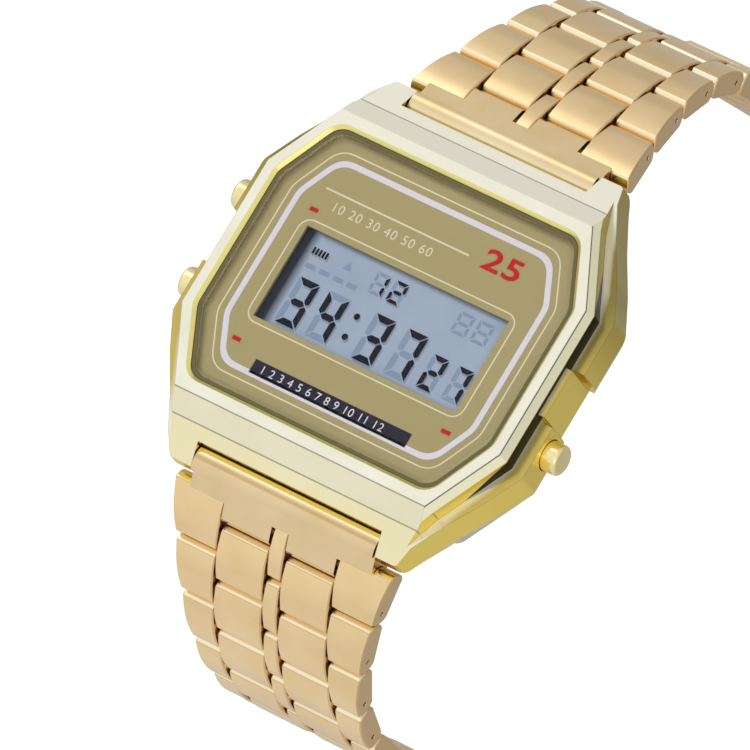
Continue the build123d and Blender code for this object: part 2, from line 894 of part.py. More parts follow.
def save_case():
    save("case_body", case_body())
    save("crystal", crystal())
    save("crystal_gasket", crystal_gasket())
    save("face_plate", face_plate())
    save("lcd_panel", lcd_panel())
    save("light_guide", light_guide())
    save("led_lamp", led_lamp())
    save("connector_strips", connector_strips())
    save("module_frame", module_frame())
    save("circuit_board", circuit_board())
    save("clock_chip", clock_chip())
    save("quartz_crystal", quartz_crystal())
    save("rear_holder", rear_holder())
    save("battery", battery())
    save("battery_clip", battery_clip())
    save("buzzer_disc", buzzer_disc())
    save("back_gasket", back_seal_space(seal_clearance))
    save("back_cover", back_cover())
    save("back_screws", back_screws())
    save("lug_bars", lug_bars())
    save("button_springs", button_springs())
    for name, side, y in button_places():
        save(f"button_{name}", button(side, y))


def save_strand(name, side, end_angle, pins, angles):
    save(f"end_link_{name}", placed(side, (bar_y, bar_z), end_angle) * end_link())
    for row, angle in enumerate(angles):
        last = row == rows_per_strand - 1
        open_end = last and side < 0
        if row % 2 == 0:
            piece = wide_row(row, centre=not open_end, last_pin=not open_end)
        else:
            piece = narrow_row()
        save(f"link_{name}_{row + 1:02d}", placed(side, pins[row], angle) * piece)


def save_clasp():
    pins, angles = STRAND_12
    place = placed(1, pins[-1], angles[-1])
    save("clasp_cover", place * clasp_cover())
    save("clasp_middle_blade", place * middle_blade())
    save("clasp_inner_blade", place * inner_blade())


save_case()
save_strand("12", 1, end_link_angle_12, *STRAND_12)
save_strand("6", -1, end_link_angle_6, *STRAND_6)
save_clasp()
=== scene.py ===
from collections import namedtuple
from math import cos, pi, radians, sin

import bmesh
import bpy
from mathutils import Euler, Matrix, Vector

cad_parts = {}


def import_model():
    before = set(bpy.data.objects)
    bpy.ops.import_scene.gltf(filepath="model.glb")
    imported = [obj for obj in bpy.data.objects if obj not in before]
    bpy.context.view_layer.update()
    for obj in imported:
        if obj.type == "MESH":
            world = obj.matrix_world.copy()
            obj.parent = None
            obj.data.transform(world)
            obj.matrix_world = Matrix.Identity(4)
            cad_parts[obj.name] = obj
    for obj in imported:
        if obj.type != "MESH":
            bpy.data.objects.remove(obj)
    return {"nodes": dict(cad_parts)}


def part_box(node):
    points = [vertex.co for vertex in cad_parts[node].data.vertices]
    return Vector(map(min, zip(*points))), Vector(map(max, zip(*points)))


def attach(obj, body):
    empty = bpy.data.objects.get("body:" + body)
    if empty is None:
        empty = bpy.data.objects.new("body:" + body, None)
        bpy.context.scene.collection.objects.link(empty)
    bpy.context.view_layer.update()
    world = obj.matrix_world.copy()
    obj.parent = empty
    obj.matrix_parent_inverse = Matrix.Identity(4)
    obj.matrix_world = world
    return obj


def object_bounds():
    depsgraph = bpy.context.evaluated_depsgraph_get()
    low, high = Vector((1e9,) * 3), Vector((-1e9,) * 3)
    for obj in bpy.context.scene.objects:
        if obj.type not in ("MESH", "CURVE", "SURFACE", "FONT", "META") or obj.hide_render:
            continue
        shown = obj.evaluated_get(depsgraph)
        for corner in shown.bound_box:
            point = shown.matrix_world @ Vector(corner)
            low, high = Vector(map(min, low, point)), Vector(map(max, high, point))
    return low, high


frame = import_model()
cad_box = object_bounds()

MM = 0.001
nodes = frame["nodes"]
_, case_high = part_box("case_body")

# Places are in millimetres from the dial's centre, with 12 o'clock towards +Y. A reach says where
# a tint is absent and where it is full. A facing is the share of a face's normal along an axis.

# The camera stands where the photograph was taken from, with a long lens.
CAMERA_AT = Vector((0.43667, -0.17612, 0.84261))
CAMERA_TURN = (radians(23.194), radians(18.275), radians(32.347))
CAMERA_LENS = 577.3
CAMERA_SENSOR = 36.0
CAMERA_SHIFT = (0.0015, 0.0029)
CAMERA_CLIP = (0.01, 20.0)

# Lamps, in metres: name, place, size, power
LAMPS = (
    ("key", (-1.1, 0.75, 0.9), (1.0, 1.0), 2.6),
    ("fill", (1.0, -0.6, 0.8), (0.8, 0.8), 1.2),
)

# Studio: tints from the horizon up, and from the 6 o'clock side to the 12 o'clock side
WORLD_STRENGTH = 0.98
HEIGHT_TINTS = [
    (0.0, (0.8, 0.8, 0.79)),
    (0.3, (0.86, 0.86, 0.85)),
    (0.62, (0.9, 0.9, 0.89)),
    (0.82, (0.94, 0.94, 0.93)),
    (1.0, (1.0, 1.0, 1.0)),
]
FAR_TINTS = [(0.2, (1.0, 1.0, 1.0)), (0.6, (0.91, 0.91, 0.9)), (0.9, (0.82, 0.81, 0.8))]

# Floor
FLOOR_HALF = 3.0
FLOOR_DROP = 0.0002
FLOOR_COLOUR = (0.5, 0.5, 0.5)
FLOOR_ROUGHNESS = 0.9
FLOOR_GLOW = 0.66
# In reflections the floor glows brighter towards the 6 o'clock side: painted light
FLOOR_GLOW_MIRRORED = (0.3, 0.05)
FLOOR_GLOW_TURNS_Y = (-80.0, 0.0)

# Materials: pale tint, deep tint
TINTS = {
    "case_gold": ((0.93, 0.91, 0.78), (0.86, 0.83, 0.66)),
    "bracelet_gold": ((0.94, 0.715, 0.41), (0.89, 0.66, 0.35)),
    "end_link_gold": ((0.845, 0.66, 0.4), (0.79, 0.605, 0.33)),
    "button_gold": ((0.97, 0.84, 0.46), (0.9, 0.75, 0.38)),
    "clasp_gold": ((0.86, 0.68, 0.42), (0.8, 0.6, 0.36)),
    "dial_gold": ((0.425, 0.355, 0.152), (0.37, 0.305, 0.125)),
    "steel": ((0.68, 0.68, 0.66), (0.58, 0.58, 0.57)),
    "crystal_glass": ((1.0, 1.0, 1.0), (0.985, 0.99, 0.985)),
    "display_grey": ((0.4, 0.48, 0.61), (0.33, 0.405, 0.53)),
    "segment_navy": ((0.006, 0.008, 0.022), (0.004, 0.005, 0.014)),
    "segment_pale": ((0.23, 0.31, 0.45), (0.2, 0.28, 0.42)),
    "segment_shadow": ((0.23, 0.275, 0.36), (0.2, 0.25, 0.33)),
    "print_cream": ((0.8, 0.72, 0.5), (0.72, 0.65, 0.45)),
    "print_white": ((0.8, 0.76, 0.82), (0.74, 0.7, 0.77)),
    "print_red": ((0.58, 0.012, 0.006), (0.52, 0.01, 0.005)),
    "print_plum": ((0.02, 0.016, 0.035), (0.014, 0.011, 0.026)),
    "gasket_olive": ((0.15, 0.125, 0.045), (0.13, 0.108, 0.038)),
    "gasket_rubber": ((0.03, 0.03, 0.03), (0.015, 0.015, 0.015)),
    "module_plastic": ((0.1, 0.1, 0.11), (0.07, 0.07, 0.075)),
    "frosted_plastic": ((0.82, 0.84, 0.82), (0.72, 0.75, 0.72)),
    "board_green": ((0.05, 0.2, 0.09), (0.03, 0.13, 0.06)),
    "chip_black": ((0.03, 0.03, 0.033), (0.02, 0.02, 0.022)),
    "buzzer_brass": ((0.75, 0.58, 0.26), (0.66, 0.5, 0.2)),
}

# Noise: a middle is the part of its range that is stretched over the tints or the gloss
PRINT_SCALE = 20.0
NOISE_MIDDLE = (0.3, 0.7)
CLOUDS_MIDDLE = (0.35, 0.65)
MOTTLE_SWING = 0.2

# Edges are where the rounded normal stops agreeing with the face's own
EDGE_AGREEMENT = (0.995, 0.88)
EDGE_SAMPLES = 6
# Link edges: a painted highlight, with a smoother gloss
LINK_EDGE_HIGHLIGHT, LINK_EDGE_RADIUS, LINK_EDGE_GLOSS = (0.98, 0.8, 0.5), 0.12, 0.5

# Case: heights and outlines taken from the solid
TOP_Z = case_high[2] / MM
BEZEL_EDGE_Z = TOP_Z - 1.0
BLOCK_Z = TOP_Z - 1.5
LEDGE_Z = TOP_Z - 2.4
BEZEL_SIDE_X, BEZEL_CORNER_Y, BEZEL_FLARE = 16.15, 6.75, 0.5
CREASE_Y, SLOPE_Y = 13.15, 14.9
OPENING_X, OPENING_Y, OPENING_CORNER_Y = 14.6, 11.85, 6.3
CORNER_TURN = (0.896, 0.444)
CORNER_AT = CORNER_TURN[0] * OPENING_X + CORNER_TURN[1] * OPENING_CORNER_Y

# Case paint, most of it painted light on one gold plating: far and near are the 12 o'clock and the
# 6 o'clock side
# Walls and shoulders: a painted reflection of darker surroundings, with painted shade on the far
# side
WALL_SHADE_FAR, WALL_SHADE_NEAR = (0.38, 0.3, 0.035), (0.93, 0.72, 0.15)
SHOULDER_SHADE_FAR, SHOULDER_SHADE_NEAR = (0.27, 0.215, 0.04), (0.62, 0.49, 0.12)
NEAR_SIDE_Y = (9.0, 1.0)
FLAT_FACING_Z = (0.28, 0.78)
SHOULDER_REACH = (0.3, 0.85)
SHOULDER_START, SHOULDER_START_REACH = -0.5, (0.0, 2.5)
SHOULDER_Z = (BLOCK_Z + 0.2, BLOCK_Z + 0.05)
SHOULDER_Y = (15.0, 12.5)
SHOULDER_FACING_Z = (0.1, 0.5)
# Edges: painted shade
EDGE_SHADE, EDGE_RADIUS, EDGE_SHARE = (0.16, 0.13, 0.05), 0.09, 0.75
# Lugs that face the 6 o'clock side: a painted yellow reflection
LUG_REFLECTION, LUG_FACING_Y, LUG_SHARE = (0.93, 0.83, 0.43), (-0.3, -0.6), 0.9
LUG_SHARE_INSIDE, LUG_TURNS_Y = 0.25, (SLOPE_Y - 0.05, SLOPE_Y + 0.05)
# Slopes that face the 12 o'clock side: a painted highlight
FAR_SLOPE_HIGHLIGHT, FAR_SLOPE_FACING_Y = (1.0, 0.965, 0.82), (0.4, 0.5)
# Creases: painted shade
CREASE_SHADE, CREASE_REACH, CREASE_SHARE = (0.2, 0.18, 0.09), (0.08, 0.03), 0.7
CREASE_Z = (LEDGE_Z + 0.1, LEDGE_Z + 0.3)
# The bezel's outward flank: a painted highlight
FLANK_HIGHLIGHT, FLANK_AWAY = (1.0, 0.965, 0.68), (4.0, 5.0)
FLANK_Z = (BEZEL_EDGE_Z - 0.05, BEZEL_EDGE_Z + 0.05)
FLANK_FACING_Z = (0.6, 0.5)
# A painted shade line along the top of the flank
LINE_SHADE, LINE_Z, LINE_SHARE = (0.06, 0.05, 0.02), (TOP_Z - 0.14, TOP_Z - 0.1), 0.85
# The crystal's rim: a painted yellow highlight
RIM_HIGHLIGHT, RIM_AWAY, RIM_Z = (0.9, 0.82, 0.28), (-2.0, -3.0), (TOP_Z - 0.4, TOP_Z - 0.3)
# A near-black band under the bezel's sides: a painted dark reflection
BAND_DARK_REFLECTION, BAND_DROOP = (0.012, 0.01, 0.006), 0.33
BAND_TOP_Z = (BEZEL_EDGE_Z, BEZEL_EDGE_Z - 0.06)
BAND_LOW_Z = (LEDGE_Z - 0.02, LEDGE_Z)
BAND_TURNED_X = (6.6, 7.4)
BAND_OUTSIDE = (0.4, 0.25)
BAND_FACING_Z = (0.34, 0.28)
METAL_BARE, METAL_PALE, FLANK_PALE_SHARE = 1.0, 0.4, 0.8

# Link paint, all of it painted light by facing: towards is how far a face turns inward, from -1 on
# the bracelet's outside to 1 on its inside
LINK_LINE_SHADE, LINK_LINE_SHARE = (0.5, 0.33, 0.13), 0.6
LINK_LINE_FROM, LINK_LINE_TO = (-0.52, -0.42), (-0.2, -0.36)
LINK_LINE_Y = (1.0, -1.0)
CREST_HIGHLIGHT, CREST_TOWARDS, CREST_SHARE = (1.0, 0.92, 0.72), (-0.28, 0.1), 0.8
INNER_SHADE, INNER_TOWARDS = (0.82, 0.5, 0.13), (0.4, 0.7)
SIDE_SHADE, SIDE_FACING_X, SIDE_SHARE = (0.66, 0.45, 0.21), (0.5, 0.8), 0.92

# Display: a row's figures are (left edge, figure), and a blank one has no segment lit
WINDOW_LEFT, WINDOW_LOW, WINDOW_TOP = -10.0, -5.1, 3.45
WINDOW_SHADE = (0.012, 0.016, 0.03)
WINDOW_SHADE_LEFT = (WINDOW_LEFT + 1.6, WINDOW_LEFT + 0.7)
WINDOW_SHADE_TOP, WINDOW_SHADE_TOP_SHARE = (WINDOW_TOP - 0.4, WINDOW_TOP), 0.6
Row = namedtuple("Row", "top width height stroke figures")
ROWS = (
    Row(top=-0.48, width=2.05, height=4.2, stroke=0.56,
        figures=((-8.35, "3"), (-5.35, "4"), (-0.75, "3"), (2.45, "7"))),
    Row(top=-1.45, width=1.55, height=3.05, stroke=0.43, figures=((5.6, "2"), (8.05, "7"))),
    Row(top=2.65, width=1.3, height=1.95, stroke=0.3, figures=((-2.5, "1"), (-0.7, "2"))),
    Row(top=2.65, width=1.5, height=1.95, stroke=0.3, figures=((5.7, " "), (7.6, " "))),
)
# Segments that are lit: a at the top, b to f from there clockwise, and g in the middle
SEGMENTS = {" ": "", "1": "bc", "2": "abged", "3": "abgcd", "4": "fgbc", "7": "abc"}
ALL_SEGMENTS = "abcdefg"
SEGMENT_GAP = 0.07
SEGMENT_SHADOW = 0.17
DASH_LEFTS, DASH_LOW, DASH_SIZE = (-8.5, -7.1, -5.7, -4.4), 0.35, (0.95, 0.42)
ARROW = [(-5.5, 1.55), (-4.6, 1.55), (-5.05, 2.3)]
COLON_LOWS, COLON_SIDES, COLON_HEIGHT, COLON_CORNER = (-1.75, -3.65), (-2.35, -1.8), 0.55, 0.26
GAUGE_LEFT, GAUGE_STEP, GAUGE_BARS, GAUGE_LOW, GAUGE_SIZE = -8.6, 0.32, 5, 1.6, (0.2, 0.6)

# Dial: bars, dashes and the rule are (left, low, width, height), and FIGURE_SHARE is a figure's
# height in a text of size 1
# The dial's rim under the bezel: painted shade
DIAL_RIM_SHADE, DIAL_RIM_REACH, DIAL_RIM_SHARE = (0.15, 0.115, 0.03), (0.9, 0.3), 0.6
PRINT_LIFT = 0.008
PLATE_MARGIN = 0.1
FIGURE_SHARE = 0.69
RING_CORNERS = (3.8, 3.4)
FRAME_INSET, FRAME_WIDTH = 2.15, 0.5
LINE_INSET, LINE_WIDTH = 1.5, 0.13
WINDOW_LINE_CORNER = 1.1
WINDOW_LINE = (WINDOW_LEFT - 0.7, -WINDOW_LEFT + 0.7, WINDOW_LOW - 0.55, WINDOW_TOP + 0.65)
RULE = (-10.3, 6.8, 14.2, 0.16)
DASHES = ((-10.65, 4.65, 0.85, 0.38), (-10.6, -7.6, 0.85, 0.38), (9.8, -7.05, 0.9, 0.38))
DARK_BAR = (-7.7, -9.45, 15.5, 1.25)


class Nodes:
    """The nodes of a material or world, with a short call for each kind that the looks need."""

    def __init__(self, owner, tints=None):
        owner.use_nodes = True
        self.owner = owner
        self.pale_and_deep = tints
        self.tree = owner.node_tree.nodes
        self.links = owner.node_tree.links

    def feed(self, socket, value):
        """Links a value to a socket, or sets it there if it is plain."""
        if isinstance(value, bpy.types.NodeSocket):
            self.links.new(value, socket)
        elif socket.type == "RGBA":
            socket.default_value = (*value, 1.0)
        else:
            socket.default_value = value

    def fill(self, name, inputs):
        """Feeds the inputs of a node that is there already."""
        for socket, value in inputs.items():
            self.feed(self.tree[name].inputs[socket], value)

    def add(self, kind, inputs=None, **settings):
        """A new node with its settings, and then its inputs."""
        made = self.tree.new("ShaderNode" + kind)
        for setting, value in settings.items():
            setattr(made, setting, value)
        for socket, value in (inputs or {}).items():
            self.feed(made.inputs[socket], value)
        return made

    def maths(self, kind, *values):
        """The result of one operation on sockets or plain numbers."""
        return self.add("Math", dict(enumerate(values)), operation=kind).outputs["Value"]

    def vector(self, kind, output, *values):
        """The named output of one operation on vectors."""
        return self.add("VectorMath", dict(enumerate(values)), operation=kind).outputs[output]

    def times(self, first, *others):
        """The product of sockets and plain numbers, starting with a socket."""
        for other in others:
            first = self.maths("MULTIPLY", first, other)
        return first

    def spread(self, source, low, high, start=0.0, end=1.0):
        """A value stretched from start..end to low..high, and held there beyond."""
        inputs = {"From Min": start, "From Max": end, "To Min": low, "To Max": high}
        return self.add("MapRange", {"Value": source, **inputs}).outputs["Result"]

    def mask(self, source, reach, share=1.0):
        """Nothing where the source is at the reach's start, and the share at its end."""
        return self.spread(source, 0.0, share, *reach)

    def split(self, output):
        """The x, y and z of a texture coordinate."""
        coordinate = self.add("TexCoord").outputs[output]
        return self.add("SeparateXYZ", {"Vector": coordinate}).outputs[:]

    def place(self):
        """The x, y and z of a point, in millimetres."""
        return [self.times(way, 1 / MM) for way in self.split("Object")]

    def noise(self, scale, stretch=(1, 1, 1), detail=3.0, seed=0.0):
        """Noise in the part's own millimetres, stretched along an axis by a small factor."""
        mapping = self.add("Mapping", {
            "Vector": self.add("TexCoord").outputs["Object"],
            "Scale": [factor / MM for factor in stretch],
            "Location": (seed, seed, seed),
        })
        inputs = {"Vector": mapping.outputs["Vector"], "Scale": scale, "Detail": detail}
        return self.add("TexNoise", inputs).outputs["Fac"]

    def ramp(self, source, stops):
        """Colours by value: stops are (place, colour)."""
        made = self.add("ValToRGB", {"Fac": source})
        elements = made.color_ramp.elements
        while len(elements) < len(stops):
            elements.new(0.5)
        for element, (place, colour) in zip(elements, stops):
            element.position = place
            element.color = (*colour, 1.0)
        return made.outputs["Color"]

    def tints(self, source, low, high):
        """The material's deep tint where the source is low, to its pale tint where it is high."""
        pale, deep = self.pale_and_deep
        return self.ramp(source, [(low, deep), (high, pale)])

    def blend(self, share, first, second, kind="MIX"):
        """Two colours mixed: the second by its share."""
        inputs = {"Factor": share, "A": first, "B": second}
        return self.add("Mix", inputs, data_type="RGBA", blend_type=kind).outputs["Result"]

    def bump(self, height, strength, distance, normal=None):
        """Fine relief on the shader, over a normal if there is one."""
        inputs = {"Strength": strength, "Distance": distance * MM, "Height": height}
        if normal is not None:
            inputs["Normal"] = normal
        self.fill("Principled BSDF", {"Normal": self.add("Bump", inputs).outputs["Normal"]})

    def edge_nearness(self, radius):
        """The rounded normal near edges, and how near an edge a point is, from 0 to 1: the case
        paints shade by it, the links a highlight.
        """
        rounded = self.add("Bevel", {"Radius": radius * MM}, samples=EDGE_SAMPLES)
        rounded = rounded.outputs["Normal"]
        flat = self.add("NewGeometry").outputs["True Normal"]
        agreement = self.vector("DOT_PRODUCT", "Value", rounded, flat)
        return rounded, self.mask(agreement, EDGE_AGREEMENT)

    def shader(self, inputs):
        """Feeds the shader's inputs, and gives the material."""
        self.fill("Principled BSDF", inputs)
        return self.owner


def surface(name):
    """The nodes of a new material, with its tints."""
    return Nodes(bpy.data.materials.new(name), TINTS.get(name))


def strand_painted_light(made, colour):
    """A link's painted light, by the way its faces look: a painted highlight where they turn away
    from the outside, painted deep gold shade inside, painted brown shade on the bracelet's outer
    sides, and at 6 o'clock a painted brown shade line at the bend."""
    coordinates = made.add("TexCoord").outputs
    outward = made.vector("MULTIPLY", "Vector", coordinates["Object"], (0, 1, 1))
    outward = made.vector("NORMALIZE", "Vector", outward)
    along = made.vector("DOT_PRODUCT", "Value", outward, coordinates["Normal"])
    towards = made.times(along, -1)
    _, y, _ = made.place()
    facing_x, _, _ = made.split("Normal")
    line = made.times(made.mask(towards, LINK_LINE_FROM, LINK_LINE_SHARE),
                      made.mask(towards, LINK_LINE_TO), made.mask(y, LINK_LINE_Y))
    side = made.mask(made.maths("ABSOLUTE", facing_x), SIDE_FACING_X, SIDE_SHARE)
    for share, tint in (
        (line, LINK_LINE_SHADE),
        (made.mask(towards, CREST_TOWARDS, CREST_SHARE), CREST_HIGHLIGHT),
        (made.mask(towards, INNER_TOWARDS), INNER_SHADE),
        (side, SIDE_SHADE),
    ):
        colour = made.blend(share, colour, tint)
    return colour


def plated(name, smooth, rough, stretch, grain=0.05, edge_highlight=None, strand=False):
    """Plated metal with soft clouds of two tints, a brushed grain, and with an edge highlight
    given, smoother edges with a painted highlight; a strand's links also get painted light by
    facing.
    """
    made = surface(name)
    colour = made.tints(made.noise(scale=0.22, seed=3.0), *CLOUDS_MIDDLE)
    brushed = made.noise(scale=9.0, stretch=stretch, detail=5.0)
    gloss = made.spread(brushed, smooth, rough, *NOISE_MIDDLE)
    rounded = None
    if edge_highlight:
        # Painted highlight on the edges, which are also smoother
        rounded, edge = made.edge_nearness(LINK_EDGE_RADIUS)
        colour = made.blend(edge, colour, edge_highlight)
        gloss = made.times(gloss, made.spread(edge, 1.0, LINK_EDGE_GLOSS))
    made.bump(brushed, strength=grain, distance=0.02, normal=rounded)
    # A strand's links get painted light by the way their faces look
    if strand:
        colour = strand_painted_light(made, colour)
    return made.shader({"Base Color": colour, "Roughness": gloss, "Metallic": 1.0})


def moulded(name, rough, scale=6.0, metal=0.0, coat=0.0, shine=0.5):
    """Moulded, printed or glazed stuff: a fine mottle in its colour and gloss."""
    made = surface(name)
    mottle = made.noise(scale, detail=4.0, seed=7.0)
    least, most = rough * (1 - MOTTLE_SWING), rough * (1 + MOTTLE_SWING)
    made.bump(mottle, strength=0.08, distance=0.01)
    return made.shader({
        "Base Color": made.tints(mottle, *NOISE_MIDDLE),
        "Roughness": made.spread(mottle, least, most, *NOISE_MIDDLE),
        "Metallic": metal,
        "Coat Weight": coat,
        "Specular IOR Level": shine,
    })


def case_gold():
    """The case's plating, with light and shade painted into it: pale on the flats, olive on the
    shoulders and walls as a painted reflection of darker surroundings, darker on the 12 o'clock
    side as painted shade, a painted yellow reflection on the lugs, painted highlights on the far
    slope, the flank and the crystal's rim, painted shade on the edges, the creases and a thin line
    at the bezel's top, and a painted dark reflection as a band under the bezel's sides."""
    made = surface("case_gold")
    mask, times, maths = made.mask, made.times, made.maths
    x, y, level = made.place()
    facing_x, facing_y, facing_z = made.split("Normal")
    across, along = maths("ABSOLUTE", x), maths("ABSOLUTE", y)
    turned_x = times(x, facing_x)
    away = maths("ADD", turned_x, times(y, facing_y))
    beyond = maths("MAXIMUM", maths("SUBTRACT", along, BEZEL_CORNER_Y), 0.0)
    outside = maths("ADD", maths("SUBTRACT", across, BEZEL_SIDE_X), times(beyond, BEZEL_FLARE))
    near_side = mask(y, NEAR_SIDE_Y)
    flat = mask(facing_z, FLAT_FACING_Z)

    # Painted reflection on the walls, darker towards the far side as painted shade
    wall = made.blend(near_side, WALL_SHADE_FAR, WALL_SHADE_NEAR)
    pale = made.tints(made.noise(scale=0.18, seed=2.0), *NOISE_MIDDLE)
    start = made.spread(beyond, SHOULDER_START, 0.0, *SHOULDER_START_REACH)
    shoulder = times(mask(maths("SUBTRACT", outside, start), SHOULDER_REACH),
                     mask(level, SHOULDER_Z), mask(along, SHOULDER_Y),
                     mask(facing_z, SHOULDER_FACING_Z))
    rounded, edge = made.edge_nearness(EDGE_RADIUS)
    lug = times(mask(facing_y, LUG_FACING_Y, LUG_SHARE), flat,
                made.spread(along, LUG_SHARE_INSIDE, 1.0, *LUG_TURNS_Y))
    # Painted shade along the creases
    creases = [maths("ABSOLUTE", maths("SUBTRACT", way, crease_y))
               for way, crease_y in ((times(y, -1), CREASE_Y), (along, SLOPE_Y))]
    crease = times(mask(maths("MINIMUM", *creases), CREASE_REACH, CREASE_SHARE),
                   mask(level, CREASE_Z))
    # Painted highlight on the bezel's outward flank
    flank = times(mask(away, FLANK_AWAY), mask(level, FLANK_Z), mask(facing_z, FLANK_FACING_Z))
    # Painted dark reflection band under the bezel's sides
    droop = times(beyond, BAND_DROOP)
    band = times(mask(maths("ADD", level, droop), BAND_TOP_Z), mask(level, BAND_LOW_Z),
                 mask(turned_x, BAND_TURNED_X), mask(outside, BAND_OUTSIDE),
                 mask(maths("ABSOLUTE", facing_z), BAND_FACING_Z))
    colour = made.blend(flat, wall, pale)
    for share, tint in (
        (shoulder, made.blend(near_side, SHOULDER_SHADE_FAR, SHOULDER_SHADE_NEAR)),
        (times(edge, EDGE_SHARE), EDGE_SHADE),
        (lug, LUG_REFLECTION),
        (times(mask(facing_y, FAR_SLOPE_FACING_Y), flat), FAR_SLOPE_HIGHLIGHT),
        (crease, CREASE_SHADE),
        (flank, FLANK_HIGHLIGHT),
        (times(flank, mask(level, LINE_Z, LINE_SHARE)), LINE_SHADE),
        (times(mask(away, RIM_AWAY), mask(level, RIM_Z)), RIM_HIGHLIGHT),
        (band, BAND_DARK_REFLECTION),
    ):
        colour = made.blend(share, colour, tint)

    hairline = made.noise(scale=6.0, stretch=(1, 0.1, 0.1), detail=4.0)
    made.bump(hairline, strength=0.03, distance=0.01, normal=rounded)
    wear = made.noise(scale=2.5, seed=5.0)
    pearly = maths("MAXIMUM", flat, times(flank, FLANK_PALE_SHARE))
    return made.shader({
        "Base Color": colour,
        "Metallic": made.spread(pearly, METAL_BARE, METAL_PALE),
        "Roughness": made.spread(wear, 0.13, 0.24, *NOISE_MIDDLE),
    })


def clear_glass():
    """A mineral crystal: clear and mirror-smooth, and it lets the lamps' light through."""
    made = surface("crystal_glass")
    smear = made.noise(scale=1.3, seed=4.0)
    made.shader({
        "Base Color": made.tints(smear, 0.0, 1.0),
        "Roughness": made.spread(smear, 0.0, 0.03, 0.4, 0.8),
        "Transmission Weight": 1.0,
        "IOR": 1.2,
    })
    both = made.add("MixShader", {
        "Fac": made.add("LightPath").outputs["Is Shadow Ray"],
        1: made.tree["Principled BSDF"].outputs["BSDF"],
        2: made.add("BsdfTransparent").outputs["BSDF"],
    })
    made.fill("Material Output", {"Surface": both.outputs["Shader"]})
    return made.owner


def display_grey():
    """The display's grey-blue sheet, darker where the dial's edge shades it."""
    made = surface("display_grey")
    x, y, _ = made.place()
    sheet = made.tints(made.noise(scale=0.35, seed=9.0), low=0.2, high=0.8)
    shade = made.maths("MAXIMUM", made.mask(x, WINDOW_SHADE_LEFT),
                       made.mask(y, WINDOW_SHADE_TOP, WINDOW_SHADE_TOP_SHARE))
    return made.shader({
        "Base Color": made.blend(shade, sheet, WINDOW_SHADE),
        "Roughness": 0.35,
        "Specular IOR Level": 0.12,
    })


def dial_gold():
    """The dial's printed khaki gold, with a painted shade along its rim under the bezel."""
    made = surface("dial_gold")
    grain = made.noise(scale=14.0, stretch=(1, 0.2, 1), detail=5.0, seed=1.0)
    x, y, _ = made.place()
    across, along = made.maths("ABSOLUTE", x), made.maths("ABSOLUTE", y)
    corner = made.maths("ADD", made.times(across, CORNER_TURN[0]),
                        made.times(along, CORNER_TURN[1]))
    gaps = [made.maths("SUBTRACT", edge, way)
            for edge, way in ((OPENING_X, across), (OPENING_Y, along), (CORNER_AT, corner))]
    nearest = made.maths("MINIMUM", made.maths("MINIMUM", gaps[0], gaps[1]), gaps[2])
    shade = made.mask(nearest, DIAL_RIM_REACH, DIAL_RIM_SHARE)
    made.bump(grain, strength=0.1, distance=0.01)
    return made.shader({
        "Base Color": made.blend(shade, made.tints(grain, *NOISE_MIDDLE), DIAL_RIM_SHADE),
        "Roughness": made.spread(grain, 0.4, 0.55, *NOISE_MIDDLE),
        "Metallic": 0.25,
    })


def paint(material, *names):
    """Gives CAD nodes one material."""
    for name in names:
        mesh = nodes[name]
        if not mesh.material_slots:
            mesh.data.materials.append(material)
        for place in mesh.material_slots:
            place.link = "OBJECT"
            place.material = material


def paint_all():
    """A material on every CAD node."""
    links = [name for name in nodes if name.startswith("link")]
    end_links = [name for name in nodes if name.startswith("end_link")]
    blades = [name for name in nodes if name.startswith("clasp")]
    satin = {"smooth": 0.18, "rough": 0.26, "stretch": (2.5, 0.15, 0.15), "grain": 0.02,
             "strand": True}
    paint(case_gold(), "case_body")
    paint(plated("button_gold", smooth=0.14, rough=0.24, stretch=(1, 1, 0.2)),
          "button_light", "button_mode", "button_start")
    paint(plated("bracelet_gold", **satin, edge_highlight=LINK_EDGE_HIGHLIGHT), *links)
    paint(plated("end_link_gold", **satin), *end_links)
    paint(plated("clasp_gold", smooth=0.24, rough=0.36, stretch=(1, 0.06, 0.06)), *blades)
    paint(plated("steel", smooth=0.22, rough=0.36, stretch=(0.08, 1, 1)),
          "back_cover", "back_screws", "lug_bars", "button_springs", "battery", "battery_clip",
          "quartz_crystal")
    paint(clear_glass(), "crystal")
    paint(display_grey(), "lcd_panel")
    paint(dial_gold(), "face_plate")
    paint(moulded("gasket_rubber", rough=0.7), "back_gasket", "connector_strips")
    paint(moulded("gasket_olive", rough=0.6, scale=PRINT_SCALE), "crystal_gasket")
    paint(moulded("module_plastic", rough=0.5), "module_frame", "rear_holder")
    paint(moulded("frosted_plastic", rough=0.45), "light_guide", "led_lamp")
    paint(moulded("board_green", rough=0.4, coat=0.5), "circuit_board")
    paint(moulded("chip_black", rough=0.45), "clock_chip")
    paint(moulded("buzzer_brass", rough=0.3, metal=1.0), "buzzer_disc")


def add_object(name, data):
    """A new object in the scene."""
    made = bpy.data.objects.new(name, data)
    bpy.context.scene.collection.objects.link(made)
    return made


